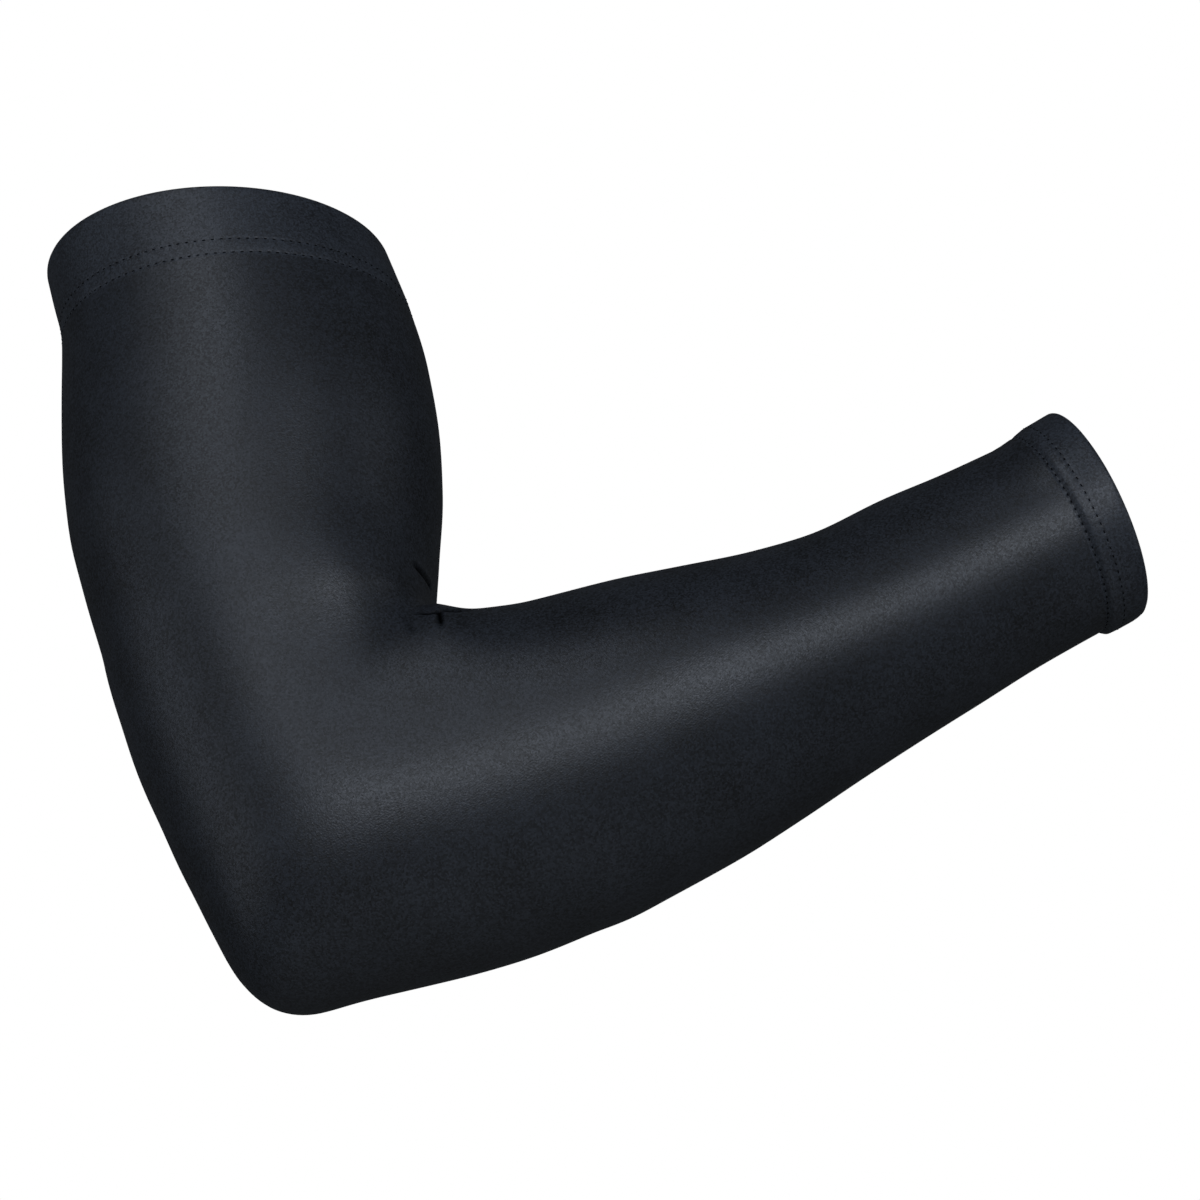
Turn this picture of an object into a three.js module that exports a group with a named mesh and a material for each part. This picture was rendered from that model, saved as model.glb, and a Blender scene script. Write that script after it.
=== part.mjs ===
// Black stretch-knit arm sleeve, shaped as it sits on a bent arm, with no arm in it.
// Millimetres. The origin is the middle of the elbow, where the centre lines of the two limbs cross.
// +Z runs up the upper arm, +X lies on the inner side of the elbow, where the forearm points,
// and the arm bends in the XZ plane, so +Y and -Y are the two sides of the arm.
import * as THREE from 'three';

// Lengths of the sleeve along the limbs
const upperRun = 125;          // from the elbow crease up to the upper rim
const foreRun = 181;           // from the elbow crease out to the wrist rim
const elbowAngle = 71;         // between the two limbs, in degrees

// Girths, each as a width seen from the side and a depth across the arm
const upperArm = { width: 110, depth: 98 };
const forearm = { width: 92, depth: 84 };
const wrist = { width: 60, depth: 56 };
const elbow = { width: 120, depth: 86 };      // from the crease to the point of the elbow

// Elbow crease
const creaseRadius = 2;        // the cloth turns round in the crease on this radius
const creaseFromUpperArm = 0.452;  // crease to the upper arm's centre line, as a share of its width
const creaseFromForearm = 0.608;   // crease to the forearm's centre line, as a share of its width
const creaseSquareness = 3.2;  // the front of each section is flattened across the crease
const tuckDepth = 1.3;         // small tucks beside the crease
const tuckWidth = 5;

// Cloth and hems
const cloth = 1;               // one layer of knit
const layerGap = 0.3;          // air between a hem and the cloth that it laps
const upperHem = { depth: 22.8, proud: 0.4, lap: 6 };
const wristHem = { depth: 13.2, proud: 1.7, lap: 5 };
const upperRimTilt = 3;        // the front of the upper rim sits lower, in degrees
const wristRimTilt = 2;        // the front of the wrist rim reaches further out, in degrees

// Fineness of the mesh
const pointsAround = 40;
const foldSteps = 4;
const hemStations = { outer: [1, 0.7, 0.4], inner: [0.6] };  // rings on a hem's faces, as shares of its depth

// Sections of the upper arm. at runs from the crease, 0, to the rim, 1. back and front are measured from
// the centre line as shares of the width, side as a share of the depth. No front means the crease itself.
const upperSections = [
  { at: 1.00, back: 0.514, front: 0.416, side: 0.492, tilt: 1.0, square: 2.0 },
  { at: 0.93, back: 0.507, front: 0.437, side: 0.488, tilt: 0.9, square: 2.0 },
  { at: 0.83, back: 0.482, front: 0.464, side: 0.486, tilt: 0.6, square: 2.0 },
  { at: 0.66, back: 0.490, front: 0.494, side: 0.495, tilt: 0.0, square: 2.0 },
  { at: 0.50, back: 0.495, front: 0.504, side: 0.500, tilt: 0.0, square: 2.0 },
  { at: 0.34, back: 0.488, front: 0.495, side: 0.495, tilt: 0.0, square: 2.0 },
  { at: 0.18, back: 0.459, front: 0.466, side: 0.485, tilt: 0.0, square: 2.2 },
  { at: 0.00, back: 0.415, side: 0.475, tilt: 0.0, square: 3.0 },
];

// Sections of the bend, fanned around the crease. at is the share of the turn, from the upper arm to the
// forearm. reach is measured from the crease to the back of the arm, as a share of the elbow's width.
const bendSections = [
  { at: 0.13, reach: 0.780, side: 0.520 },
  { at: 0.26, reach: 0.798, side: 0.510 },
  { at: 0.39, reach: 0.856, side: 0.500 },
  { at: 0.46, reach: 0.911, side: 0.500 },
  { at: 0.53, reach: 0.981, side: 0.500 },
  { at: 0.57, reach: 1.000, side: 0.500 },
  { at: 0.61, reach: 0.987, side: 0.500 },
  { at: 0.65, reach: 0.936, side: 0.500 },
  { at: 0.71, reach: 0.894, side: 0.500 },
  { at: 0.78, reach: 0.863, side: 0.500 },
  { at: 0.88, reach: 0.841, side: 0.500 },
];

// Sections of the forearm. at runs from the crease, 0, to the wrist rim, 1. of names the girth whose
// width and depth the other columns are shares of.
const foreSections = [
  { at: 0.00, of: forearm, back: 0.480, side: 0.510, tilt: 0.0, square: 3.0 },
  { at: 0.03, of: forearm, back: 0.486, front: 0.547, side: 0.510, tilt: 0.0, square: 2.6 },
  { at: 0.07, of: forearm, back: 0.490, front: 0.528, side: 0.510, tilt: 0.0, square: 2.4 },
  { at: 0.12, of: forearm, back: 0.485, front: 0.510, side: 0.510, tilt: 0.0, square: 2.1 },
  { at: 0.25, of: forearm, back: 0.470, front: 0.464, side: 0.500, tilt: 0.0, square: 2.0 },
  { at: 0.36, of: forearm, back: 0.443, front: 0.410, side: 0.475, tilt: 0.0, square: 2.0 },
  { at: 0.48, of: forearm, back: 0.409, front: 0.354, side: 0.430, tilt: 0.0, square: 2.0 },
  { at: 0.59, of: forearm, back: 0.383, front: 0.326, side: 0.395, tilt: 0.0, square: 2.0 },
  { at: 0.70, of: wrist, back: 0.554, front: 0.515, side: 0.540, tilt: 0.0, square: 2.0 },
  { at: 0.81, of: wrist, back: 0.516, front: 0.506, side: 0.505, tilt: 0.0, square: 2.0 },
  { at: 0.91, of: wrist, back: 0.502, front: 0.508, side: 0.498, tilt: 0.8, square: 2.0 },
  { at: 1.00, of: wrist, back: 0.492, front: 0.530, side: 0.510, tilt: 1.0, square: 2.0 },
];

// Frame of the two limbs
const turn = THREE.MathUtils.degToRad(180 - elbowAngle);
const foreRise = THREE.MathUtils.degToRad(90 - elbowAngle);
const creaseX = creaseFromUpperArm * upperArm.width;
const creaseN = creaseFromForearm * forearm.width;
const crease = new THREE.Vector3(creaseX, 0, (creaseN + creaseX * Math.sin(foreRise)) / Math.cos(foreRise));
const bendRun = turn * (creaseX + creaseN) / 2;
const sleeveRun = upperRun + bendRun + foreRun;
const sideways = new THREE.Vector3(0, -1, 0);

// A place along the sleeve is its distance from the upper rim, measured on the centre line.
const onUpperArm = (share) => upperRun * (1 - share);
const onBend = (share) => upperRun + bendRun * share;
const onForearm = (share) => upperRun + bendRun + foreRun * share;

// Distance from the crease to the centre line, at a share of the bend
const creaseToCentre = (share) => THREE.MathUtils.lerp(creaseX, creaseN, share);

// Small tucks that run out of the crease, each from one place and angle round the arm to another
const tucks = [
  { from: onBend(0.41), fromAngle: 33, to: onBend(0.89), toAngle: 46, depth: 1.0 },
  { from: onUpperArm(0.07), fromAngle: 8, to: onUpperArm(0.09), toAngle: 30, depth: 0.8 },
];

// All sections in one list, in millimetres, from the upper rim to the wrist rim
function sectionList() {
  const upper = upperSections.map((row) => ({
    place: onUpperArm(row.at),
    back: row.back * upperArm.width,
    front: row.front ? row.front * upperArm.width : creaseX - creaseRadius,
    side: row.side * upperArm.depth,
    tilt: row.tilt * upperRimTilt,
    square: row.square,
  }));
  const bend = bendSections.map((row) => ({
    place: onBend(row.at),
    back: row.reach * elbow.width - creaseToCentre(row.at),
    front: creaseToCentre(row.at) - creaseRadius,
    side: row.side * elbow.depth,
    tilt: 0,
    square: creaseSquareness,
  }));
  const fore = foreSections.map((row) => ({
    place: onForearm(row.at),
    back: row.back * row.of.width,
    front: row.front ? row.front * row.of.width : creaseN - creaseRadius,
    side: row.side * row.of.depth,
    tilt: row.tilt * wristRimTilt,
    square: row.square,
  }));
  return [...upper, ...bend, ...fore];
}
const sections = sectionList();

// Slope of one column at a section, kept flat at its peaks so that the curve never overshoots
function columnSlope(column, index) {
  const rise = (i) => sections[i + 1][column] - sections[i][column];
  const step = (i) => sections[i + 1].place - sections[i].place;
  if (index === 0) {
    return rise(0) / step(0);
  }
  if (index === sections.length - 1) {
    return rise(index - 1) / step(index - 1);
  }
  const before = rise(index - 1) / step(index - 1);
  const after = rise(index) / step(index);
  return before * after <= 0 ? 0 : 2 * before * after / (before + after);
}

// Value of a column at any place, on a smooth curve through the sections
function columnAt(column, place) {
  const last = sections.length - 2;
  const found = sections.findIndex((section, i) => i > 0 && place <= section.place);
  const i = found < 0 ? last : found - 1;
  const step = sections[i + 1].place - sections[i].place;
  const t = THREE.MathUtils.clamp((place - sections[i].place) / step, 0, 1);
  const t2 = t * t;
  const t3 = t2 * t;
  return sections[i][column] * (2 * t3 - 3 * t2 + 1)
    + sections[i + 1][column] * (3 * t2 - 2 * t3)
    + columnSlope(column, i) * step * (t3 - 2 * t2 + t)
    + columnSlope(column, i + 1) * step * (t3 - t2);
}

// Centre point and forward direction of the section at a place. In the bend every section passes
// through the crease, so the sections fan around it and never cross.
function sectionFrame(place) {
  const share = THREE.MathUtils.clamp((place - upperRun) / bendRun, 0, 1);
  const angle = turn * share;
  const forward = new THREE.Vector3(Math.cos(angle), 0, Math.sin(angle));
  const centre = crease.clone().addScaledVector(forward, -creaseToCentre(share));
  const beyond = place - upperRun - bendRun * share;
  const along = new THREE.Vector3(Math.sin(angle), 0, -Math.cos(angle));
  centre.addScaledVector(along, beyond);
  return { centre, forward };
}

// How deep a tuck presses the cloth in at a place and an angle round the arm
function tuckAt(place, angle) {
  const girthRadius = (elbow.width + elbow.depth) / 4;
  const degrees = Math.abs(THREE.MathUtils.radToDeg(angle > Math.PI ? angle - 2 * Math.PI : angle));
  let press = 0;
  for (const tuck of tucks) {
    const start = new THREE.Vector2(tuck.from, THREE.MathUtils.degToRad(tuck.fromAngle) * girthRadius);
    const end = new THREE.Vector2(tuck.to, THREE.MathUtils.degToRad(tuck.toAngle) * girthRadius);
    const point = new THREE.Vector2(place, THREE.MathUtils.degToRad(degrees) * girthRadius);
    const line = end.clone().sub(start);
    const share = THREE.MathUtils.clamp(point.clone().sub(start).dot(line) / line.lengthSq(), 0, 1);
    const away = point.distanceTo(start.addScaledVector(line, share));
    press += tuck.depth * tuckDepth * Math.exp(-((2 * away / tuckWidth) ** 2));
  }
  return press;
}

// One ring of points round the sleeve, moved out of the cloth's outer face by an offset
function ring(place, offset) {
  const { centre, forward } = sectionFrame(place);
  const back = columnAt('back', place);
  const front = columnAt('front', place);
  const squareness = columnAt('square', place);
  forward.applyAxisAngle(sideways, THREE.MathUtils.degToRad(-columnAt('tilt', place)));
  const middle = centre.addScaledVector(forward, (front - back) / 2);
  const points = [];
  for (let i = 0; i < pointsAround; i += 1) {
    const angle = 2 * Math.PI * i / pointsAround;
    const cos = Math.cos(angle);
    const sin = Math.sin(angle);
    const power = cos > 0 ? squareness : 2;
    const swell = (Math.abs(cos) ** power + Math.abs(sin) ** power) ** (-1 / power);
    const press = tuckAt(place, angle);
    const halfWidth = (front + back) / 2 + offset - press;
    const halfDepth = columnAt('side', place) + offset - press;
    points.push(middle.clone()
      .addScaledVector(forward, halfWidth * cos * swell)
      .addScaledVector(sideways, halfDepth * sin * swell));
  }
  return points;
}

// A closed wall round the sleeve. Its path goes once round the cut edge of the cloth, as places and
// offsets, and each point of the path gives one ring.
function wall(name, path, material) {
  const rings = path.map(({ place, offset }) => ring(place, offset));
  const positions = rings.flat().flatMap((point) => point.toArray());
  const faces = [];
  for (let r = 0; r < rings.length; r += 1) {
    const nextRing = (r + 1) % rings.length;
    for (let i = 0; i < pointsAround; i += 1) {
      const next = (i + 1) % pointsAround;
      const a = r * pointsAround + i;
      const b = r * pointsAround + next;
      const c = nextRing * pointsAround + next;
      const d = nextRing * pointsAround + i;
      faces.push(a, b, c, a, c, d);
    }
  }
  const geometry = new THREE.BufferGeometry();
  geometry.setAttribute('position', new THREE.Float32BufferAttribute(positions, 3));
  geometry.setIndex(faces);
  geometry.computeVertexNormals();
  const mesh = new THREE.Mesh(geometry, material);
  mesh.name = name;
  return mesh;
}

// Places of the body's rings: close together round the point of the elbow and beside the crease
function bodyPlaces() {
  const start = upperHem.depth + layerGap;
  const end = sleeveRun - wristHem.depth - layerGap;
  const stretches = [
    { to: onUpperArm(0.14), steps: 9 },
    { to: onUpperArm(0), steps: 4 },
    { to: onBend(0.46), steps: 7 },
    { to: onBend(0.70), steps: 10 },
    { to: onBend(1), steps: 5 },
    { to: onForearm(0.1), steps: 3 },
    { to: end, steps: 12 },
  ];
  const places = [start];
  let from = start;
  for (const { to, steps } of stretches) {
    for (let i = 1; i <= steps; i += 1) {
      places.push(THREE.MathUtils.lerp(from, to, i / steps));
    }
    from = to;
  }
  return places;
}

// The tube of knit between the two hems
function sleeveBody(material) {
  const places = bodyPlaces();
  const outer = places.map((place) => ({ place, offset: 0 }));
  const inner = places.map((place) => ({ place, offset: -cloth })).reverse();
  return wall('sleeve_body', [...outer, ...inner], material);
}

// A hem: cloth turned in over the rim, two layers thick, with a tongue that laps inside the body.
// The path starts on the outer face at the body's edge and comes back along the inner face.
function hemPath(hem) {
  const thickness = 2 * cloth + layerGap;
  const foldRadius = thickness / 2;
  const tongueTop = -cloth - layerGap;
  const path = hemStations.outer.map((share) => ({ fromRim: share * hem.depth, offset: hem.proud }));
  for (let i = 0; i <= foldSteps; i += 1) {
    const angle = Math.PI * i / foldSteps;
    path.push({
      fromRim: foldRadius * (1 - Math.sin(angle)),
      offset: hem.proud - foldRadius * (1 - Math.cos(angle)),
    });
  }
  for (const share of hemStations.inner) {
    path.push({ fromRim: share * hem.depth, offset: hem.proud - thickness });
  }
  path.push(
    { fromRim: hem.depth, offset: tongueTop - cloth },
    { fromRim: hem.depth + hem.lap, offset: tongueTop - cloth },
    { fromRim: hem.depth + hem.lap, offset: tongueTop },
    { fromRim: hem.depth, offset: tongueTop },
  );
  return path;
}

// The outer face of a wall is read towards the wrist, so the upper hem's path is turned about.
function upperHemWall(material) {
  const path = hemPath(upperHem).map(({ fromRim, offset }) => ({ place: fromRim, offset }));
  return wall('upper_hem', path.reverse(), material);
}

function wristHemWall(material) {
  const path = hemPath(wristHem).map(({ fromRim, offset }) => ({ place: sleeveRun - fromRim, offset }));
  return wall('wrist_hem', path, material);
}

const knit = new THREE.MeshStandardMaterial({ color: 0x24272b, roughness: 0.62, metalness: 0 });
const upperHemKnit = new THREE.MeshStandardMaterial({ color: 0x222529, roughness: 0.64, metalness: 0 });
const wristHemKnit = upperHemKnit.clone();

const sleeve = new THREE.Group();
sleeve.add(sleeveBody(knit));
sleeve.add(upperHemWall(upperHemKnit));
sleeve.add(wristHemWall(wristHemKnit));

export default sleeve;
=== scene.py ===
import math

import bpy
import numpy as np
from mathutils import Matrix, Vector


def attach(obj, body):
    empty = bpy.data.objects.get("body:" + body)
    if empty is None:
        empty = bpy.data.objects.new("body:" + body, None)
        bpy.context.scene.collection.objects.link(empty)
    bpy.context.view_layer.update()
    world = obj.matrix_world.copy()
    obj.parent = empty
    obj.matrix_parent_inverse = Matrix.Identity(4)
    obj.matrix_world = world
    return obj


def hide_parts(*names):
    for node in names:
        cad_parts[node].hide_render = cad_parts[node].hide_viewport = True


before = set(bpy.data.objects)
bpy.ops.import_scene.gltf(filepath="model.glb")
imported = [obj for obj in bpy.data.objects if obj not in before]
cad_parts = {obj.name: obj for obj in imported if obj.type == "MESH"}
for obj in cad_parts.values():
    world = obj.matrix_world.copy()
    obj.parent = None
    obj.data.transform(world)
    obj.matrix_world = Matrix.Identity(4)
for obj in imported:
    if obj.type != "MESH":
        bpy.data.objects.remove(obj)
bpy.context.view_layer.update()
for thing in list(bpy.context.selected_objects):
    thing.select_set(False)

MM = 0.001

# Lengths, girths and crease of the sleeve, the same as in the part's source
UPPER_RUN = 125.0
FORE_RUN = 181.0
ELBOW_ANGLE = 71.0
UPPER_ARM = (110.0, 98.0)
FOREARM = (92.0, 84.0)
WRIST = (60.0, 56.0)
ELBOW = (120.0, 86.0)
CREASE_RADIUS = 2.0
CREASE_FROM_UPPER_ARM = 0.452
CREASE_FROM_FOREARM = 0.608
CREASE_SQUARENESS = 3.2
UPPER_RIM_TILT = 3.0
WRIST_RIM_TILT = 2.0
# Hems: where the piece ends, how far it stands proud, its rows of stitches from the rim and their pitch,
# how deep the rows and their needle pits sink, over what length it rises from the body, how much longer
# that is on the inner side of the arm, and how much its rim is rounded at the back of the arm
UPPER_HEM = {"edge": 23.4, "proud": 0.06, "rows": (18.1, 22.7), "pitch": 2.5, "sinks": (0.03, 0.04),
             "pits": (0.14, 0.14), "rise": 3.0, "slow_rise": 0.0, "rounding": 0.0}
WRIST_HEM = {"edge": 14.0, "proud": 1.7, "rows": (8.7, 13.0), "pitch": 2.3, "sinks": (0.03, 0.12),
             "pits": (0.16, 0.22), "rise": 2.2, "slow_rise": 3.0, "rounding": 0.8}

# Cloth: one layer, the two layers of a hem with the air between them, and what a hem laps inside the body
CLOTH = 0.8
HEM_THICKNESS = 1.9
LAP_INSET = 1.25
LAP_DEPTH = 6.0

# at, back, front, side, tilt, square; a front of None is the crease itself
UPPER_SECTIONS = [
    (1.00, 0.514, 0.416, 0.492, 1.0, 2.0),
    (0.93, 0.501, 0.437, 0.488, 0.9, 2.0),
    (0.83, 0.482, 0.464, 0.486, 0.6, 2.0),
    (0.66, 0.490, 0.494, 0.495, 0.0, 2.0),
    (0.50, 0.495, 0.504, 0.500, 0.0, 2.0),
    (0.34, 0.488, 0.495, 0.495, 0.0, 2.0),
    (0.18, 0.459, 0.466, 0.485, 0.0, 2.2),
    (0.00, 0.415, None, 0.475, 0.0, 3.0),
]
# at, reach from the crease to the back of the arm, side
BEND_SECTIONS = [
    (0.13, 0.780, 0.520),
    (0.26, 0.798, 0.510),
    (0.39, 0.856, 0.500),
    (0.46, 0.911, 0.500),
    (0.53, 0.981, 0.500),
    (0.57, 1.000, 0.500),
    (0.61, 0.987, 0.500),
    (0.65, 0.936, 0.500),
    (0.71, 0.894, 0.500),
    (0.78, 0.863, 0.500),
    (0.88, 0.841, 0.500),
]
# at, girth, back, front, side, tilt, square
FORE_SECTIONS = [
    (0.00, FOREARM, 0.480, None, 0.510, 0.0, 3.0),
    (0.03, FOREARM, 0.486, 0.547, 0.510, 0.0, 2.6),
    (0.07, FOREARM, 0.490, 0.528, 0.510, 0.0, 2.4),
    (0.12, FOREARM, 0.485, 0.510, 0.510, 0.0, 2.1),
    (0.25, FOREARM, 0.470, 0.464, 0.500, 0.0, 2.0),
    (0.36, FOREARM, 0.443, 0.410, 0.475, 0.0, 2.0),
    (0.48, FOREARM, 0.409, 0.354, 0.430, 0.0, 2.0),
    (0.59, FOREARM, 0.383, 0.326, 0.395, 0.0, 2.0),
    (0.70, WRIST, 0.554, 0.515, 0.540, 0.0, 2.0),
    (0.81, WRIST, 0.516, 0.506, 0.505, 0.0, 2.0),
    (0.91, WRIST, 0.494, 0.508, 0.498, 0.8, 2.0),
    (1.00, WRIST, 0.476, 0.530, 0.510, 1.0, 2.0),
]

# Frame of the two limbs. A place is the distance from the upper rim along the centre line.
TURN = math.radians(180 - ELBOW_ANGLE)
FORE_RISE = math.radians(90 - ELBOW_ANGLE)
CREASE_X = CREASE_FROM_UPPER_ARM * UPPER_ARM[0]
CREASE_N = CREASE_FROM_FOREARM * FOREARM[0]
CREASE = np.array([CREASE_X, 0.0, (CREASE_N + CREASE_X * math.sin(FORE_RISE)) / math.cos(FORE_RISE)])
BEND_RUN = TURN * (CREASE_X + CREASE_N) / 2
SLEEVE_RUN = UPPER_RUN + BEND_RUN + FORE_RUN
SIDEWAYS = np.array([0.0, -1.0, 0.0])


def on_upper_arm(share):
    return UPPER_RUN * (1 - share)


def on_bend(share):
    return UPPER_RUN + BEND_RUN * share


def on_forearm(share):
    return UPPER_RUN + BEND_RUN + FORE_RUN * share


def section_rows():
    """Every section in millimetres, from the upper rim to the wrist rim. Its place comes first."""
    rows = []
    for at, back, front, side, tilt, square in UPPER_SECTIONS:
        reach = CREASE_X - CREASE_RADIUS if front is None else front * UPPER_ARM[0]
        rows.append((on_upper_arm(at), back * UPPER_ARM[0], reach, side * UPPER_ARM[1],
                     tilt * UPPER_RIM_TILT, square))
    for at, reach, side in BEND_SECTIONS:
        inner = CREASE_X + (CREASE_N - CREASE_X) * at
        rows.append((on_bend(at), reach * ELBOW[0] - inner, inner - CREASE_RADIUS, side * ELBOW[1],
                     0.0, CREASE_SQUARENESS))
    for at, girth, back, front, side, tilt, square in FORE_SECTIONS:
        reach = CREASE_N - CREASE_RADIUS if front is None else front * girth[0]
        rows.append((on_forearm(at), back * girth[0], reach, side * girth[1], tilt * WRIST_RIM_TILT, square))
    return np.array(rows)


SECTIONS = section_rows()
# Columns of a section after its place
BACK, FRONT, SIDE, TILT, SQUARE = 1, 2, 3, 4, 5


def column_slopes(values, places):
    """Slopes of a curve through the sections, kept flat at its peaks so that it never overshoots."""
    rise = np.diff(values) / np.diff(places)
    slopes = np.empty(len(values))
    slopes[0], slopes[-1] = rise[0], rise[-1]
    before, after = rise[:-1], rise[1:]
    same_way = before * after > 0
    total = np.where(same_way, before + after, 1.0)
    slopes[1:-1] = np.where(same_way, 2 * before * after / total, 0.0)
    return slopes


def column_at(column, place):
    places, values = SECTIONS[:, 0], SECTIONS[:, column]
    slopes = column_slopes(values, places)
    i = np.clip(np.searchsorted(places, place) - 1, 0, len(places) - 2)
    step = places[i + 1] - places[i]
    t = np.clip((place - places[i]) / step, 0, 1)
    t2, t3 = t * t, t * t * t
    return (values[i] * (2 * t3 - 3 * t2 + 1) + values[i + 1] * (3 * t2 - 2 * t3)
            + slopes[i] * step * (t3 - 2 * t2 + t) + slopes[i + 1] * step * (t3 - t2))


# The form as a table: one ring every half millimetre, one point every degree
TABLE_STEP = 0.5
table_places = np.arange(0.0, SLEEVE_RUN + TABLE_STEP, TABLE_STEP)
table_angles = np.radians(np.arange(360.0))


def section_table():
    """Points of every ring as the sections give them, in millimetres."""
    place, angle = np.meshgrid(table_places, table_angles, indexing="ij")
    share = np.clip((place - UPPER_RUN) / BEND_RUN, 0, 1)
    bend = TURN * share
    forward = np.stack([np.cos(bend), np.zeros_like(bend), np.sin(bend)], -1)
    along = np.stack([np.sin(bend), np.zeros_like(bend), -np.cos(bend)], -1)
    inner = CREASE_X + (CREASE_N - CREASE_X) * share
    centre = CREASE - forward * inner[..., None] + along * (place - UPPER_RUN - BEND_RUN * share)[..., None]
    back, front = column_at(BACK, place), column_at(FRONT, place)
    tilt = np.radians(column_at(TILT, place))[..., None]
    forward = forward * np.cos(tilt) + along * np.sin(tilt)
    middle = centre + forward * ((front - back) / 2)[..., None]
    cos, sin = np.cos(angle), np.sin(angle)
    power = np.where(cos > 0, column_at(SQUARE, place), 2.0)
    swell = (np.abs(cos) ** power + np.abs(sin) ** power) ** (-1 / power)
    return (middle + forward * ((front + back) / 2 * cos * swell)[..., None]
            + SIDEWAYS * (column_at(SIDE, place) * sin * swell)[..., None])


def smoothed(points):
    """Stretched cloth spans the hollows and rounds the ridges between two sections. It is smoothed most on
    the flanks of the arm, less at its back, where the elbow shows its point, and least in the crease."""
    from_end = np.minimum(table_places, SLEEVE_RUN - table_places)
    away = table_places[:, None] - table_places[None, :]
    widths = np.array([1.2, 3.0, 6.0, 10.0])
    passes = []
    for width in widths:
        reach = np.clip(from_end / 3, 0.2, width)[:, None]
        weight = np.exp(-0.5 * (away / reach) ** 2)
        weight /= weight.sum(1, keepdims=True)
        passes.append(np.tensordot(weight, points, axes=(1, 0)))
    cos, sin = np.cos(table_angles), np.sin(table_angles)
    wanted = 10.0 * sin ** 2 + np.where(cos > 0, 1.2, 1.8) * cos ** 2
    at = np.interp(wanted, widths, np.arange(len(widths)))
    low = np.clip(at.astype(int), 0, len(widths) - 2)
    part = (at - low)[None, :, None]
    column = np.arange(len(table_angles))
    stack = np.stack(passes)
    along = stack[low, :, column].transpose(1, 0, 2) * (1 - part) \
        + stack[low + 1, :, column].transpose(1, 0, 2) * part
    waves = np.fft.rfft(along, axis=1)
    order = np.arange(waves.shape[1])
    keep = np.exp(-0.5 * (order * math.radians(5.0)) ** 2)
    keep[1:] /= keep[1]
    return np.fft.irfft(waves * keep[None, :, None], len(table_angles), axis=1)


form_table = smoothed(section_table())
step_along = np.gradient(form_table, TABLE_STEP, axis=0)
step_round = (np.roll(form_table, -1, 1) - np.roll(form_table, 1, 1)) / 2
outward_table = np.cross(step_round, step_along)
outward_table /= np.linalg.norm(outward_table, axis=2, keepdims=True)
# Length of the cloth along each wale, from the middle of the bend
wale_table = np.cumsum(np.linalg.norm(step_along, axis=2) * TABLE_STEP, axis=0)
wale_table -= wale_table[int(on_bend(0.5) / TABLE_STEP)][None, :]


def read_table(table, place, angle):
    """A table's value at any place and angle, between its four nearest points."""
    row = np.clip(np.asarray(place, float) / TABLE_STEP, 0, len(table_places) - 1.001)
    turn = np.degrees(np.asarray(angle, float)) % 360.0
    i, j = row.astype(int), turn.astype(int) % 360
    u, v = row - i, turn - np.floor(turn)
    if table.ndim == 3:
        u, v = u[..., None], v[..., None]
    k = (j + 1) % 360
    return ((table[i, j] * (1 - u) + table[i + 1, j] * u) * (1 - v)
            + (table[i, k] * (1 - u) + table[i + 1, k] * u) * v)


# Folds that the bent elbow presses into the cloth beside the crease, the same on both sides of the arm.
# Each runs through points given as a place and degrees round the sleeve, and has a depth, a width and the
# height of the lip beside it. Where a fold is deep, the knit is painted black there as painted shade for the
# inside of the fold.
FOLDS = [
    ([(on_upper_arm(0.068), 28), (on_upper_arm(0.068), 20), (on_upper_arm(0.072), 8)], 1.1, 1.5, 0.22),
    ([(on_bend(0.600), 43), (on_bend(0.750), 44.5), (on_bend(0.910), 46)], 0.7, 1.6, 0.0),
    ([(on_bend(0.896), 53), (on_bend(0.905), 49), (on_bend(0.915), 45)], 1.0, 1.5, 0.20),
    ([(on_bend(0.468), 46), (on_bend(0.577), 47), (on_bend(0.677), 52)], 0.2, 2.4, 0.06),
    ([(on_forearm(0.036), 39), (on_forearm(0.006), 44), (on_bend(0.945), 45)], 0.7, 1.4, 0.12),
]
fold_lines = [(read_table(form_table, *np.array([(p, math.radians(d)) for p, d in line]).T),
               depth, width, lip) for line, depth, width, lip in FOLDS]
# How far from the crease a fold can reach
FOLD_AREA = 60.0
# A fold's depth follows a half wave, from this share of it and over this share of it
TAPER_START, TAPER_RUN = 0.08, 0.62


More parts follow.
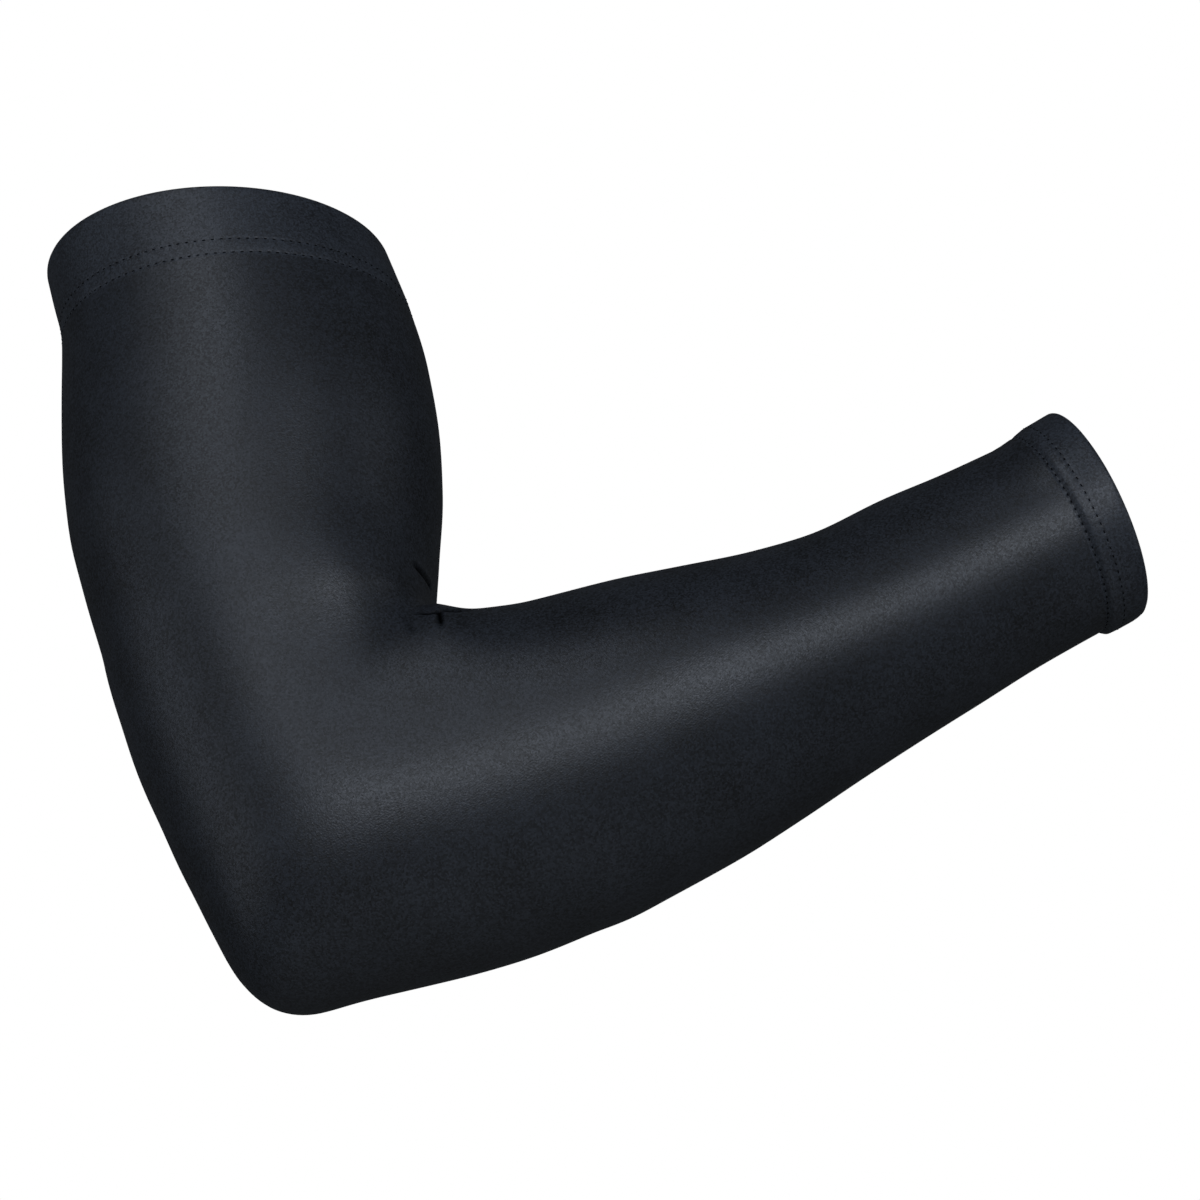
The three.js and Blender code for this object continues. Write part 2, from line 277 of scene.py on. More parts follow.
def fold_relief(points):
    """How far the folds push the cloth in, or their lips out, in millimetres, by the distance to each fold,
    and how dark the painted shade inside the folds is there, from 0 to 1."""
    relief, painted_fold_shade = np.zeros(points.shape[:-1]), np.zeros(points.shape[:-1])
    near = np.linalg.norm(points - CREASE, axis=-1) < FOLD_AREA
    if not near.any():
        return relief, painted_fold_shade
    # The folds are given on the near side, and the far side is its mirror image
    spot = points[near] * np.array([1, 0, 1]) - np.abs(points[near]) * np.array([0, 1, 0])
    groove, lips, fold_shade_mask = np.zeros(len(spot)), np.zeros(len(spot)), np.zeros(len(spot))
    for line, depth, width, lip in fold_lines:
        away = np.full(len(spot), 1e9)
        run = np.zeros(len(spot))
        for k in range(len(line) - 1):
            way = line[k + 1] - line[k]
            share = np.clip((spot - line[k]) @ way / (way @ way), 0, 1)
            distance = np.linalg.norm(spot - line[k] - share[:, None] * way, axis=1)
            closer = distance < away
            away = np.where(closer, distance, away)
            run = np.where(closer, (k + share) / (len(line) - 1), run)
        taper = np.sin(math.pi * (TAPER_START + TAPER_RUN * run))
        narrow = 0.6 * width
        groove = np.minimum(groove, -depth * taper * np.exp(-((2 * away / width) ** 2)))
        lips = np.maximum(lips, lip * taper * np.exp(-(((away - width) / narrow) ** 2)))
        # Painted shade: deep in a fold the knit is drawn black and without shine, as strongly as this mask
        # says
        shade_strength = np.clip(1.5 * depth * taper, 0, 1)
        fold_shade_mask = np.maximum(fold_shade_mask, shade_strength * np.exp(-((away / narrow) ** 2)))
    # A lip fades out where it meets the groove of another fold
    relief[near] = groove + lips * np.exp(groove / 0.3)
    painted_fold_shade[near] = fold_shade_mask
    return relief, painted_fold_shade


# The closing seam runs down the far side of the sleeve in a valley: its depth, and its reach to each side
SEAM_ANGLE = 1.5 * math.pi
SEAM_SINK, SEAM_REACH = 0.35, 0.88
# Slow waves over the whole cloth: their height, and how they run along the sleeve and drift round it
WAVE_HEIGHT, WAVE_RUN, WAVE_DRIFT = 0.12, 19.0, 61.0
# The thick wrist hem holds the cloth before it a little open, most on the inner side of the arm
FLARE, FLARE_FROM = 0.8, 20.0


def wrist_flare(angle):
    return FLARE * (0.5 + 0.5 * np.cos(angle))


def surface(place, angle, lift):
    """Points of the sleeve at places, angles round it and lifts off the cloth's outer face, in metres."""
    place, angle, lift = np.broadcast_arrays(np.asarray(place, float), np.asarray(angle, float),
                                             np.asarray(lift, float))
    base = read_table(form_table, place, angle)
    outward = read_table(outward_table, place, angle)
    outward = outward / np.linalg.norm(outward, axis=-1, keepdims=True)
    waves = WAVE_HEIGHT * np.sin(place / WAVE_RUN + 2.1 * np.cos(angle + 0.4))
    waves = waves * np.cos(2 * angle + place / WAVE_DRIFT)
    turn = (angle - SEAM_ANGLE + math.pi) % (2 * math.pi) - math.pi
    seam = -SEAM_SINK * np.exp(-((turn * column_at(SIDE, place) / SEAM_REACH) ** 2))
    opening = np.clip((FLARE_FROM - SLEEVE_RUN + place) / (FLARE_FROM - WRIST_HEM["rows"][1]), 0, 1)
    flare = wrist_flare(angle) * opening ** 2 * (3 - 2 * opening)
    return (base + outward * (lift + fold_relief(base)[0] + waves + seam + flare)[..., None]) * MM


def outward_at(place, angle):
    outward = read_table(outward_table, place, angle)
    return outward / np.linalg.norm(outward, axis=-1, keepdims=True)


def angles_by_length(place, shares):
    """Angles round the sleeve at shares of the cloth's length round it, starting at the closing seam."""
    around = np.linspace(-math.pi / 2, 1.5 * math.pi, 1441)
    ring = read_table(form_table, np.full_like(around, place), around)
    run = np.concatenate([[0], np.cumsum(np.linalg.norm(np.diff(ring, axis=0), axis=1))])
    return np.interp(np.asarray(shares) * run[-1], run, around), run[-1]


def clear_scene_selection():
    if bpy.context.object and bpy.context.object.mode != "OBJECT":
        bpy.ops.object.mode_set(mode="OBJECT")
    bpy.ops.object.select_all(action="DESELECT")


def make_piece(name, points, faces, uv, material):
    """A smooth mesh piece from points, faces and the place of each face's corners on the flat cloth."""
    mesh = bpy.data.meshes.new(name)
    mesh.from_pydata([tuple(p) for p in points], [], [tuple(int(i) for i in face) for face in faces])
    layer = mesh.uv_layers.new(name="cloth")
    layer.uv.foreach_set("vector", np.asarray(uv, np.float32).ravel())
    mesh.polygons.foreach_set("use_smooth", [True] * len(mesh.polygons))
    mesh.materials.append(material)
    mesh.update()
    piece = bpy.data.objects.new(name, mesh)
    bpy.context.scene.collection.objects.link(piece)
    return piece


def closed_wall(name, places, lifts, around, material, folded=False):
    """A wall of cloth round the sleeve. places and lifts go once round the cut edge of the wall, and the
    last joins the first. The cloth's own coordinates are its lengths round the sleeve and along it, in
    metres. A folded wall also carries the painted shade of its folds at each point, for its knit."""
    rings, count = len(places), len(around)
    place_grid = np.repeat(np.asarray(places, float)[:, None], count, 1)
    lift_grid = np.asarray(lifts, float)
    if lift_grid.ndim == 1:
        lift_grid = np.repeat(lift_grid[:, None], count, 1)
    angle_grid = np.repeat(np.asarray(around, float)[None, :], rings, 0)
    points = surface(place_grid, angle_grid, lift_grid)
    ring, step = np.meshgrid(np.arange(rings), np.arange(count), indexing="ij")
    next_ring, next_step = (ring + 1) % rings, (step + 1) % count
    quads = np.stack([ring * count + step, ring * count + next_step,
                      next_ring * count + next_step, next_ring * count + step], -1).reshape(-1, 4)
    closed = np.concatenate([points, points[:, :1]], 1)
    width = np.linalg.norm(np.diff(closed, axis=1), axis=2)
    run = np.concatenate([np.zeros((rings, 1)), np.cumsum(width, 1)], 1)
    run -= run[:, count // 2:count // 2 + 1]
    length = read_table(wale_table, place_grid, angle_grid) * MM
    length = np.concatenate([length, length[:, :1]], 1)
    cloth = np.stack([run, length], -1)
    corners = np.stack([cloth[ring, step], cloth[ring, step + 1],
                        cloth[next_ring, step + 1], cloth[next_ring, step]], 2).reshape(-1, 2)
    piece = make_piece(name, points.reshape(-1, 3), quads, corners, material)
    if folded:
        # The painted shade of the folds, stored on each point for the knit
        base = read_table(form_table, place_grid, angle_grid)
        painted_fold_shade = piece.data.attributes.new("painted_fold_shade", "FLOAT", "POINT")
        painted_fold_shade.data.foreach_set("value", fold_relief(base)[1].ravel())
    return piece


# Materials
def colour(hex_code):
    """An sRGB hex colour as the linear colour that a shader takes."""
    parts = [int(hex_code[i:i + 2], 16) / 255 for i in (1, 3, 5)]
    return [c / 12.92 if c <= 0.04045 else ((c + 0.055) / 1.055) ** 2.4 for c in parts] + [1.0]


def add(nodes, kind, links=(), **settings):
    """One node: its properties and its inputs' values by name, and links from other nodes' outputs."""
    node = nodes.new(kind)
    for key, value in settings.items():
        if hasattr(node, key):
            setattr(node, key, value)
        else:
            node.inputs[key.replace("_", " ")].default_value = value
    for name, source in links:
        node.id_data.links.new(source, node.inputs[name])
    return node


# Sizes in the knit: its loops, its uneven skin, its slanting lines and its patches
LOOP, GRAIN, LINE, PATCH = 0.50 * MM, 0.45 * MM, 0.9 * MM, 20 * MM


def stretch_knit(name, dark, light, roughness, folded=False):
    """Polyester and elastane tricot, warp-knitted from filament yarn, dyed black and pressed: a satin skin
    of very fine loops, so it shines softly in a broad band and breaks up into a fine grain close by.
    The real loops are about 0.35 mm wide, too fine to show, so they are drawn as a speckle of 0.5 mm. The
    knit of a folded wall is painted black in its deep folds, a painted shade where the cloth lies against
    itself."""
    material = bpy.data.materials.new(name)
    material.use_nodes = True
    nodes = material.node_tree.nodes
    nodes.clear()
    place = add(nodes, "ShaderNodeTexCoord")
    # Loops that catch the light one by one
    loops = add(nodes, "ShaderNodeTexVoronoi", [("Vector", place.outputs["Object"])],
                feature="F1", Scale=1 / LOOP, Randomness=1.0)
    # The skin between them is uneven
    grain = add(nodes, "ShaderNodeTexNoise", [("Vector", place.outputs["Object"])],
                Scale=1 / GRAIN, Detail=1.0, Roughness=0.6)
    # Lines of loops that slant at 45 degrees to the wales, broken up by the grain
    flat = add(nodes, "ShaderNodeUVMap", uv_map="cloth")
    slant = add(nodes, "ShaderNodeVectorMath", [(0, flat.outputs["UV"])], operation="DOT_PRODUCT")
    slant.inputs[1].default_value = (0.7 / LINE, 0.7 / LINE, 0.0)
    wander = add(nodes, "ShaderNodeMath", [(0, grain.outputs["Fac"]), (2, slant.outputs["Value"])],
                 operation="MULTIPLY_ADD")
    wander.inputs[1].default_value = 0.9
    turn = add(nodes, "ShaderNodeMath", [(0, wander.outputs[0])], operation="MULTIPLY")
    turn.inputs[1].default_value = 2 * math.pi
    lines = add(nodes, "ShaderNodeMath", [(0, turn.outputs[0])], operation="SINE")
    # Stretch and handling leave slow patches
    patches = add(nodes, "ShaderNodeTexNoise", [("Vector", place.outputs["Object"])],
                  Scale=1 / PATCH, Detail=2.0, Roughness=0.5)
    # Black yarn, a little greyer on the loops' crowns and in the patches
    crown = add(nodes, "ShaderNodeMapRange", [("Value", loops.outputs["Color"])],
                From_Min=0.15, From_Max=0.85, To_Min=0.0, To_Max=0.8)
    patch = add(nodes, "ShaderNodeMapRange", [("Value", patches.outputs["Fac"])],
                From_Min=0.35, From_Max=0.65, To_Min=0.0, To_Max=0.2)
    amount = add(nodes, "ShaderNodeMath", [(0, crown.outputs["Result"]), (1, patch.outputs["Result"])],
                 operation="ADD", use_clamp=True)
    dye = add(nodes, "ShaderNodeValToRGB", [("Fac", amount.outputs[0])])
    dye.color_ramp.elements[0].color = colour(dark)
    dye.color_ramp.elements[1].color = colour(light)
    # The crowns are pressed smoother than the gaps
    gloss = add(nodes, "ShaderNodeMapRange", [("Value", loops.outputs["Color"])],
                From_Min=0.15, From_Max=0.85, To_Min=roughness + 0.05, To_Max=roughness - 0.05)
    height = add(nodes, "ShaderNodeMath", [(0, lines.outputs[0]), (2, grain.outputs["Fac"])],
                 operation="MULTIPLY_ADD")
    height.inputs[1].default_value = 0.04
    relief = add(nodes, "ShaderNodeBump", [("Height", height.outputs[0])], Strength=0.40, Distance=0.00018)
    skin = [("Base Color", dye.outputs["Color"]), ("Roughness", gloss.outputs["Result"]),
            ("Normal", relief.outputs["Normal"])]
    if folded:
        # Painted shade: where the cloth lies against itself in a fold, its colour is painted black and its
        # shine taken away.
        # Inputs 6 and 7 of the mix are its two colours, and its output 2 is the mixed colour.
        painted_fold_shade = add(nodes, "ShaderNodeAttribute", attribute_name="painted_fold_shade")
        shade = add(nodes, "ShaderNodeMix", [("Factor", painted_fold_shade.outputs["Fac"]), (6, dye.outputs["Color"])],
                    data_type="RGBA")
        shade.inputs[7].default_value = colour("#010101")
        shine = add(nodes, "ShaderNodeMapRange", [("Value", painted_fold_shade.outputs["Fac"])],
                    From_Min=0.0, From_Max=1.0, To_Min=0.5, To_Max=0.0)
        skin[0] = ("Base Color", shade.outputs[2])
        skin.append(("Specular IOR Level", shine.outputs["Result"]))
    shader = add(nodes, "ShaderNodeBsdfPrincipled", skin, IOR=1.5, Metallic=0.0)
    add(nodes, "ShaderNodeOutputMaterial", [("Surface", shader.outputs["BSDF"])])
    return material


def sewing_thread(name):
    """Spun polyester sewing thread, two plies twisted and dyed black: matt, with a slanting twist that
    catches a little light. The real twist is 0.4 mm long and is drawn at that size."""
    material = bpy.data.materials.new(name)
    material.use_nodes = True
    nodes = material.node_tree.nodes
    nodes.clear()
    flat = add(nodes, "ShaderNodeUVMap", uv_map="cloth")
    turn = add(nodes, "ShaderNodeVectorMath", [(0, flat.outputs["UV"])], operation="MULTIPLY")
    turn.inputs[1].default_value = (1 / (0.4 * MM), 1.0, 1.0)
    twist = add(nodes, "ShaderNodeTexWave", [("Vector", turn.outputs["Vector"])],
                wave_type="BANDS", bands_direction="DIAGONAL", Scale=0.32, Distortion=0.0, Detail=0.0)
    tint = add(nodes, "ShaderNodeValToRGB", [("Fac", twist.outputs["Fac"])])
    tint.color_ramp.elements[0].color = colour("#050506")
    tint.color_ramp.elements[1].color = colour("#0D0E10")
    ridge = add(nodes, "ShaderNodeBump", [("Height", twist.outputs["Fac"])], Strength=0.5, Distance=0.00006)
    shader = add(nodes, "ShaderNodeBsdfPrincipled",
                 [("Base Color", tint.outputs["Color"]), ("Normal", ridge.outputs["Normal"])],
                 IOR=1.5, Metallic=0.0)
    shader.inputs["Roughness"].default_value = 0.9
    shader.inputs["Specular IOR Level"].default_value = 0.15
    add(nodes, "ShaderNodeOutputMaterial", [("Surface", shader.outputs["BSDF"])])
    return material


body_knit = stretch_knit("black_satin_tricot_knit", "#050607", "#30343B", 0.41, folded=True)
# The hems take a lighter copy of the same knit: painted light for the stronger sheen on the hems
hem_knit = stretch_knit("black_satin_tricot_knit_hem_painted_light", "#101216", "#3A3F47", 0.45)
thread = sewing_thread("black_spun_polyester_thread")


# Stitch rows: each row sinks into the cloth, and the needle leaves a pit at every stitch
POINTS_PER_STITCH = 8
ROW_WIDTH = 1.1
PIT_RADIUS = 0.42


def row_dip(from_row, sink, pit_sink, phase, pitch):
    """Groove of a stitch row with its needle pits. phase counts the stitches round the sleeve."""
    groove = -sink * np.exp(-((2 * from_row / ROW_WIDTH) ** 2))
    along = (phase - np.round(phase)) * pitch
    return groove - pit_sink * np.exp(-((from_row ** 2 + along ** 2) / PIT_RADIUS ** 2))


# Body: its points round the sleeve, which lie closer together within so many degrees of the crease and
# within so many radians of the closing seam
BODY_AROUND = 252
CREASE_CLOSER, CREASE_DEGREES = 2.8, 58
SEAM_CLOSER, SEAM_RADIANS = 4.0, 0.05
# How far the face runs past its last ring, to keep the cut edge crisp, and the gap to the hem's edge
EDGE = 0.03
HEM_GAP = 0.02


def body_angles():
    """Angles round the body, close together beside the crease and at the closing seam."""
    fine = np.linspace(-math.pi / 2, 1.5 * math.pi, 2881)
    from_crease = np.abs(np.degrees(fine))
    from_seam = np.minimum(fine + math.pi / 2, 1.5 * math.pi - fine)
    density = 1 + CREASE_CLOSER / (1 + np.exp((from_crease - CREASE_DEGREES) / 3))
    density += SEAM_CLOSER * np.exp(-((from_seam / SEAM_RADIANS) ** 2))
    total = np.concatenate([[0], np.cumsum((density[1:] + density[:-1]) / 2)])
    return np.interp(np.arange(BODY_AROUND) / BODY_AROUND * total[-1], total, fine)


def even_places(from_place, to_place, step):
    count = max(1, round((to_place - from_place) / step))
    return list(np.linspace(from_place, to_place, count, endpoint=False))


def body_places():
    """Places of the body's rings. Each mark is a stretch of the sleeve and how far apart its rings are."""
    start = UPPER_HEM["edge"] + HEM_GAP
    end = SLEEVE_RUN - WRIST_HEM["edge"] - HEM_GAP
    marks = [(start, start + EDGE, EDGE), (start + EDGE, on_upper_arm(0.20), 3.0),
             (on_upper_arm(0.20), on_upper_arm(0.0), 0.6), (on_upper_arm(0.0), on_bend(0.35), 0.95),
             (on_bend(0.35), on_bend(1.0), 0.65), (on_bend(1.0), on_forearm(0.06), 0.55),
             (on_forearm(0.06), on_forearm(0.16), 1.6), (on_forearm(0.16), end - EDGE, 3.0)]
    places = []
    for a, b, step in marks:
        places += even_places(a, b, step)
    return np.array(places + [end - EDGE, end])


places = body_places()
inner_places = np.concatenate([places[:1], places[2:-2:4], places[-1:]])[::-1]
sleeve_body = closed_wall(
    "sleeve_body_knit", np.concatenate([places, inner_places]),
    np.concatenate([np.zeros(len(places)), np.full(len(inner_places), -CLOTH)]), body_angles(), body_knit,
    folded=True)


# Hems: how far from the rim they are rounded
ROUNDED = 4.5


def hem_face(hem, from_rim, angle, phase):
    """Lift of a hem's outer face: level with the body at the second row of stitches, then up to the hem's
    own height, more slowly on the inner side of the arm, and round again at the rim."""
    rise = hem["rise"] + hem["slow_rise"] * np.clip(np.cos(angle), 0, 1) ** 2
    up = np.sin(np.clip((hem["rows"][1] - from_rim) / rise, 0, 1) * math.pi / 2)
    rounding = hem["rounding"] * np.clip(-np.cos(angle), 0, 1)
    rounding = rounding * np.clip(1 - from_rim / ROUNDED, 0, 1) ** 2
    flare = wrist_flare(angle) if hem is WRIST_HEM else 0.0
    lift = (hem["proud"] - flare) * up - rounding
    for row, sink, pit in zip(hem["rows"], hem["sinks"], hem["pits"]):
        lift = lift + row_dip(from_rim - row, sink, pit, phase, hem["pitch"])
    return lift


def hem_inside(hem, from_rim):
    """Lift of a hem's inner face, which slants in under the body's edge."""
    share = np.clip((from_rim - 0.5 * hem["edge"]) / (0.5 * hem["edge"]), 0, 1)
    top = hem["proud"] - HEM_THICKNESS
    return top + (-LAP_INSET - CLOTH - top) * share


def hem_wall(name, hem, rim_is_start, material):
    """A hem: cloth turned in over the rim, with its two rows of stitches sunk in, and a tongue that laps
    inside the body. From the body's edge it goes out to the rim, over the fold and back along the inside."""
    edge = hem["edge"]
    count = hem["stitches"] * POINTS_PER_STITCH
    phase = np.arange(count) / POINTS_PER_STITCH
    middle = hem["rows"][0] if rim_is_start else SLEEVE_RUN - hem["rows"][0]
    angles, _ = angles_by_length(middle, np.arange(count) / count)
    radius = HEM_THICKNESS / 2
    # Rings close together at both rows of stitches, and further apart between them
    near_rows = [row + step for row in hem["rows"] for step in (-0.9, -0.6, -0.35, -0.15, 0, 0.15, 0.35, 0.6)]
    between = np.arange(radius, edge - 0.2, 1.5)
    between = [x for x in between if min(abs(x - row) for row in hem["rows"]) > 1.3]
    from_rim = np.array(sorted([edge, edge - EDGE] + near_rows + between, reverse=True))
    outer = hem_face(hem, from_rim[:, None], angles[None, :], phase[None, :])
    fold_turn = np.linspace(0, math.pi, 9)[1:-1]
    fold_from = radius * (1 - np.sin(fold_turn))
    rounding = hem["rounding"] * np.clip(-np.cos(angles), 0, 1)
    flare = wrist_flare(angles) if hem is WRIST_HEM else np.zeros(count)
    fold_lift = (hem["proud"] - radius * (1 - np.cos(fold_turn)))[:, None] - (rounding + flare)[None, :]
    inner_from = np.concatenate([np.linspace(radius, edge, 7), [edge + LAP_DEPTH]])
    rounded = np.clip(1 - inner_from / ROUNDED, 0, 1)[:, None]
    inner = hem_inside(hem, inner_from)[:, None] - rounding * rounded
    inner = inner - flare * np.clip(1.6 * (1 - inner_from / edge), 0, 1)[:, None]
    back_from = np.array([edge + LAP_DEPTH, edge])
    all_from = np.concatenate([from_rim, fold_from, inner_from, back_from])
    lifts = np.concatenate([outer, fold_lift, inner, np.full((2, count), -LAP_INSET)])
    all_places = all_from if rim_is_start else SLEEVE_RUN - all_from
    if rim_is_start:
        all_places, lifts = all_places[::-1], lifts[::-1]
    return closed_wall(name, all_places, lifts, angles, material)


for hem, at in ((UPPER_HEM, UPPER_HEM["rows"][0]), (WRIST_HEM, SLEEVE_RUN - WRIST_HEM["rows"][0])):
    hem["stitches"] = round(angles_by_length(at, [0.0])[1] / hem["pitch"])
upper_hem = hem_wall("upper_hem_knit", UPPER_HEM, True, hem_knit)
wrist_hem = hem_wall("wrist_hem_knit", WRIST_HEM, False, hem_knit)


# Stitches: one stitch is modelled and copied along each row
THREAD_RADIUS = 0.16
# Half of a stitch on a hem's face, as a share of the pitch
STITCH_HALF = 0.22


def stitch_shape():
    """One stitch along X, from -0.5 to 0.5, six-sided, with its ends closed."""
    clear_scene_selection()
    bpy.ops.mesh.primitive_cylinder_add(vertices=6, radius=1.0, depth=1.0, end_fill_type="TRIFAN",
                                        rotation=(0, math.pi / 2, 0))
    shape = bpy.context.object
    bpy.ops.object.transform_apply(location=False, rotation=True, scale=True)
    bpy.ops.object.mode_set(mode="EDIT")
    for cut in (-0.38, -0.2, 0.0, 0.2, 0.38):
        bpy.ops.mesh.select_all(action="SELECT")
        bpy.ops.mesh.bisect(plane_co=(cut, 0, 0), plane_no=(1, 0, 0))
    bpy.ops.object.mode_set(mode="OBJECT")
    verts = np.array([v.co for v in shape.data.vertices])
    faces = [list(p.vertices) for p in shape.data.polygons]
    bpy.data.objects.remove(shape)
    return verts, faces


STITCH_VERTS, STITCH_FACES = stitch_shape()


def lay_stitches(name, runs, material):
    """Stitches joined into one mesh. Each run is (start, end, outward, dive): a thread from one point to
    another on the cloth, whose ends dive under its face by dive, in millimetres."""
    points, faces, uv = [], [], []
    x = STITCH_VERTS[:, 0]
    dip = np.abs(2 * x) ** 4
    slim = 1 - 0.45 * np.abs(2 * x) ** 6
    around = np.arctan2(STITCH_VERTS[:, 1], STITCH_VERTS[:, 2]) * THREAD_RADIUS
    for number, (start, end, outward, dive) in enumerate(runs):
        along = end - start
        length = np.linalg.norm(along)
        along = along / length
        side = np.cross(outward, along)
        side /= np.linalg.norm(side)
        up = np.cross(along, side)
        radius = THREAD_RADIUS * MM
        points.append((start + end) / 2 + along * (x * length)[:, None]
                      + side * (STITCH_VERTS[:, 1] * slim * radius)[:, None]
                      + up * (STITCH_VERTS[:, 2] * slim * radius * 0.9 - dive * MM * dip)[:, None])
        for face in STITCH_FACES:
            faces.append([number * len(x) + i for i in face])
            uv += [(x[i] * length, around[i] * MM) for i in face]
    return make_piece(name, np.concatenate(points), faces, uv, material)


def hem_threads(hem, rim_is_start):
    """Needle threads on the face of a hem, and the looper thread that crosses between them inside."""
    count = hem["stitches"]
    rows = [row if rim_is_start else SLEEVE_RUN - row for row in hem["rows"]]
    middle = rows[0]
    starts, _ = angles_by_length(middle, (np.arange(count) - STITCH_HALF) / count)
    ends, _ = angles_by_length(middle, (np.arange(count) + STITCH_HALF) / count)
    pits, _ = angles_by_length(middle, np.arange(count) / count)
    halves, _ = angles_by_length(middle, (np.arange(count) + 0.5) / count)
    face, inside = [], []
    for place, row in zip(rows, hem["rows"]):
        # A quarter of a pitch from its pit the cloth is level, and the thread lies at that height
        lift = hem_face(hem, row, pits, 0.25) + 0.2 * THREAD_RADIUS
        a, b = surface(place, starts, lift), surface(place, ends, lift)
        out = outward_at(np.full(count, place), pits)
        face += [(a[k], b[k], out[k], 0.35) for k in range(count)]
    lifts = [hem_inside(hem, row) - 0.5 * THREAD_RADIUS for row in hem["rows"]]
    near, far = surface(rows[0], pits, lifts[0]), surface(rows[1], halves, lifts[1])
    inward = -outward_at(np.full(count, middle), pits)
    for k in range(count):
        inside.append((near[k], far[k], inward[k], 0.1))
        inside.append((far[k], near[(k + 1) % count], inward[k], 0.1))
    return face, inside


# The closing seam's stitch length, and the distance of its two rows from the middle
SEAM_PITCH, SEAM_HALF = 2.4, 2.1


def seam_threads():
    """Flat seam that closes the tube: two needle rows with cover threads slanting across the join."""
    from_place, to_place = UPPER_HEM["edge"] + 1.0, SLEEVE_RUN - WRIST_HEM["edge"] - 1.0
    run = read_table(wale_table, table_places, np.full(len(table_places), SEAM_ANGLE))
    lengths = np.arange(np.interp(from_place, table_places, run), np.interp(to_place, table_places, run),
                        SEAM_PITCH)
    at = np.interp(lengths, run, table_places)
    half_turn = SEAM_HALF / column_at(SIDE, at)
    lift = 0.25 * THREAD_RADIUS
    left, right = surface(at, SEAM_ANGLE - half_turn, lift), surface(at, SEAM_ANGLE + half_turn, lift)
    out = outward_at(at, np.full(len(at), SEAM_ANGLE))
    runs = []
    for k in range(len(at) - 1):
        runs += [(left[k], left[k + 1], out[k], 0.2), (right[k], right[k + 1], out[k], 0.2)]
        runs += [(left[k], right[k], out[k], 0.1), (right[k], left[k + 1], out[k], 0.1)]
    return runs


upper_face, upper_inside = hem_threads(UPPER_HEM, True)
wrist_face, wrist_inside = hem_threads(WRIST_HEM, False)
upper_stitches = lay_stitches("upper_hem_stitches", upper_face, thread)
wrist_stitches = lay_stitches("wrist_hem_stitches", wrist_face, thread)
upper_looper = lay_stitches("upper_hem_looper_thread", upper_inside, thread)
wrist_looper = lay_stitches("wrist_hem_looper_thread", wrist_inside, thread)
closing_seam = lay_stitches("closing_seam_stitches", seam_threads(), thread)

# Each piece rides on the root, and the CAD parts it stands in for are hidden
trims = [upper_hem, wrist_hem, upper_stitches, wrist_stitches, upper_looper, wrist_looper, closing_seam]
for piece in [sleeve_body] + trims:
    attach(piece, "root")
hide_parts("sleeve_body")
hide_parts("upper_hem")
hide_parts("wrist_hem")

# Pale floor, far below the camera, which looks up at the sleeve
clear_scene_selection()
bpy.ops.mesh.primitive_plane_add(size=8.0, location=(0, 0, -1.60))
floor = bpy.context.object
floor.name = "floor"
paper = bpy.data.materials.new("white_matt_paper_backdrop")
paper.use_nodes = True
paper_shader = paper.node_tree.nodes["Principled BSDF"]
paper_shader.inputs["Base Color"].default_value = colour("#F2F2F0")
paper_shader.inputs["Roughness"].default_value = 0.9
floor.data.materials.append(paper)

# White backdrop for the camera, and a dim room for the light that reaches the cloth
ROOM_LIGHT = 0.04
ROOM_COLOUR = (0.86, 0.93, 1.0, 1.0)
world = bpy.data.worlds.new("white_studio")
bpy.context.scene.world = world
world.use_nodes = True
sky = world.node_tree.nodes
sky.clear()
seen = add(sky, "ShaderNodeLightPath")
room = add(sky, "ShaderNodeBackground", Color=ROOM_COLOUR, Strength=ROOM_LIGHT)
white = add(sky, "ShaderNodeBackground", Color=(1.0, 1.0, 1.0, 1.0), Strength=1.0)
either = sky.new("ShaderNodeMixShader")
world.node_tree.links.new(seen.outputs["Is Camera Ray"], either.inputs[0])
world.node_tree.links.new(room.outputs[0], either.inputs[1])
world.node_tree.links.new(white.outputs[0], either.inputs[2])
add(sky, "ShaderNodeOutputWorld", [("Surface", either.outputs[0])])
bpy.context.scene.view_settings.view_transform = "Standard"

# Camera: a 90 mm lens that looks up at 25 degrees from 0.82 m, rolled by 7.5 degrees
LENS_MM, SENSOR_MM, IMAGE_PX = 90.0, 36.0, 1200
CAMERA_DISTANCE = 0.818
CAMERA_ELEVATION = math.radians(-25.0)
CAMERA_ROLL = math.radians(-7.5)
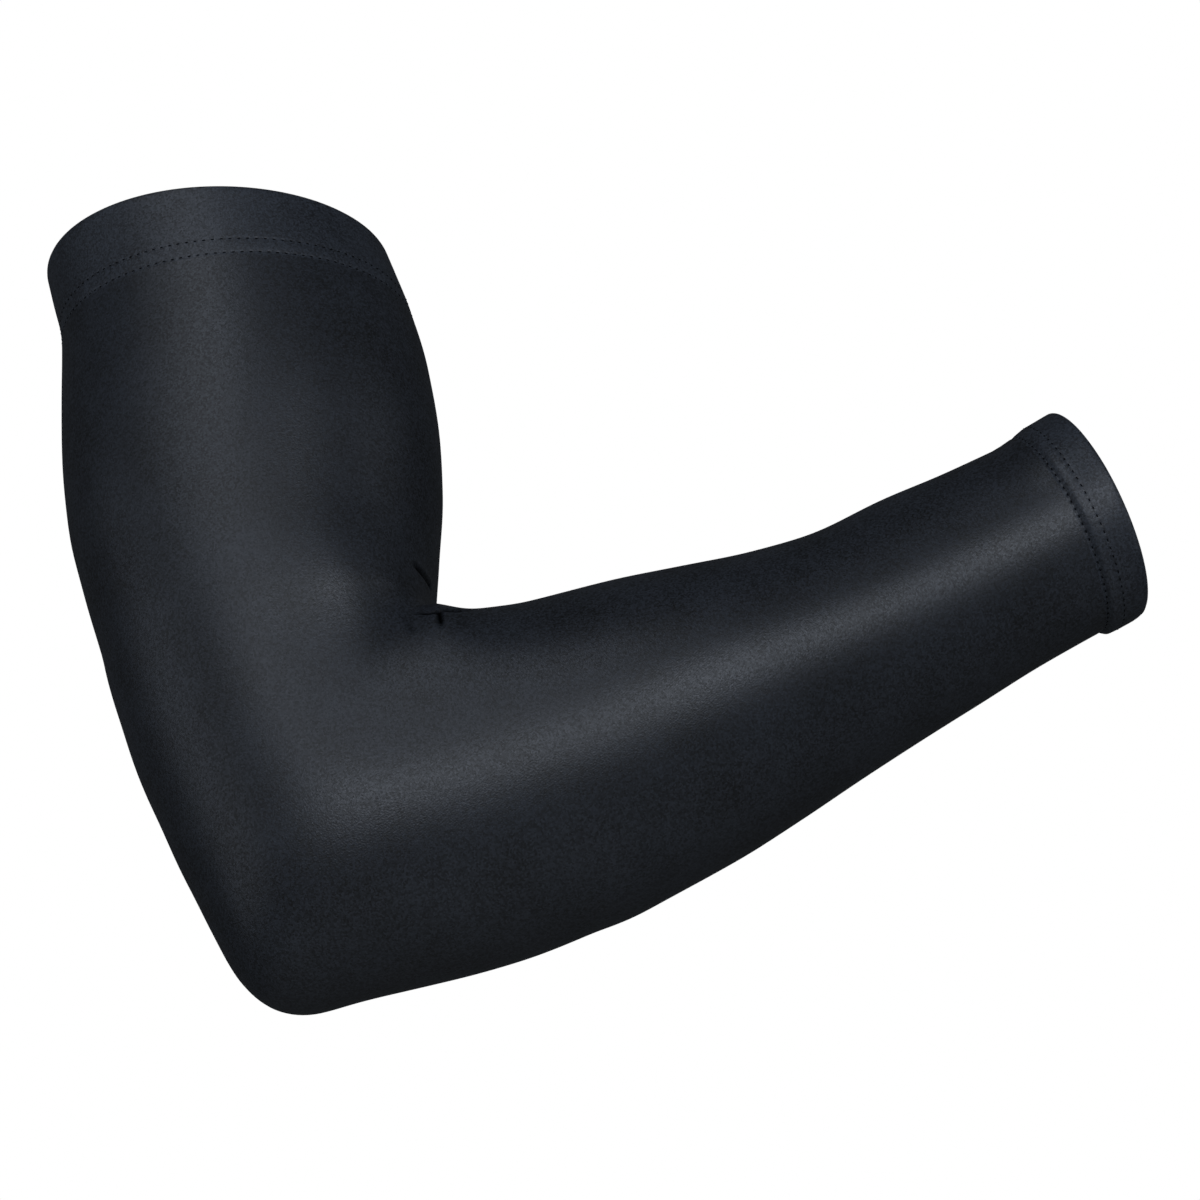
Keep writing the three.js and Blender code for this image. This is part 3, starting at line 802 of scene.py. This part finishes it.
# Where the middle of the elbow, the frame's origin, stands in the photo
ORIGIN_PX = (286, 901)
focal_px = LENS_MM / SENSOR_MM * IMAGE_PX
back_way = Vector((0, -math.cos(CAMERA_ELEVATION), math.sin(CAMERA_ELEVATION)))
level_right = Vector((1, 0, 0))
level_up = level_right.cross(-back_way)
right = math.cos(CAMERA_ROLL) * level_right + math.sin(CAMERA_ROLL) * level_up
up = -math.sin(CAMERA_ROLL) * level_right + math.cos(CAMERA_ROLL) * level_up
stand = (back_way * CAMERA_DISTANCE
         - right * ((ORIGIN_PX[0] - IMAGE_PX / 2) / focal_px * CAMERA_DISTANCE)
         + up * ((ORIGIN_PX[1] - IMAGE_PX / 2) / focal_px * CAMERA_DISTANCE))
lens = bpy.data.cameras.new("camera")
lens.lens, lens.sensor_width = LENS_MM, SENSOR_MM
lens.clip_start, lens.clip_end = 0.01, 20.0
camera = bpy.data.objects.new("camera", lens)
camera.matrix_world = Matrix.Translation(stand) @ Matrix(
    [[right[i], up[i], back_way[i]] for i in range(3)]).to_4x4()
bpy.context.scene.collection.objects.link(camera)
bpy.context.scene.camera = camera


# Soft boxes, all with the same cool tint: the way to each from the middle of the sleeve, its distance and
# size in metres and its power in watts
LIGHT_TINT = (0.84, 0.90, 1.0)
SLEEVE_MIDDLE = Vector((0.10, 0.0, 0.08))


def soft_box(name, way, distance, size, watts):
    light = bpy.data.lights.new(name, "AREA")
    light.shape, light.size, light.energy, light.color = "SQUARE", size, watts, LIGHT_TINT
    box = bpy.data.objects.new(name, light)
    way = Vector(way).normalized()
    box.location = SLEEVE_MIDDLE + way * distance
    box.rotation_mode = "QUATERNION"
    box.rotation_quaternion = way.to_track_quat("Z", "Y")
    bpy.context.scene.collection.objects.link(box)
    return box


SOFT_BOXES = [
    ("front_low", (-0.10, -0.99, -0.05), 2.2, 0.5, 6.7),
    ("front_right", (0.30, -0.95, 0.05), 2.2, 0.5, 4.7),
    ("far_right", (0.45, -0.89, 0.10), 2.2, 0.6, 5.4),
    ("front_left", (-0.30, -0.95, 0.05), 2.2, 0.6, 1.3),
    ("high_hem", (-0.20, -0.78, 0.60), 2.2, 0.7, 4.0),
    ("left_side", (-1.00, -0.35, -0.05), 1.8, 1.2, 2.7),
    ("right_side", (1.00, -0.35, 0.10), 1.8, 1.2, 3.0),
    ("high_far_left", (-0.60, -0.68, 0.42), 2.2, 0.8, 1.5),
    ("high_left", (-0.42, -0.78, 0.46), 2.2, 0.7, 1.6),
]
for one in SOFT_BOXES:
    soft_box(*one)
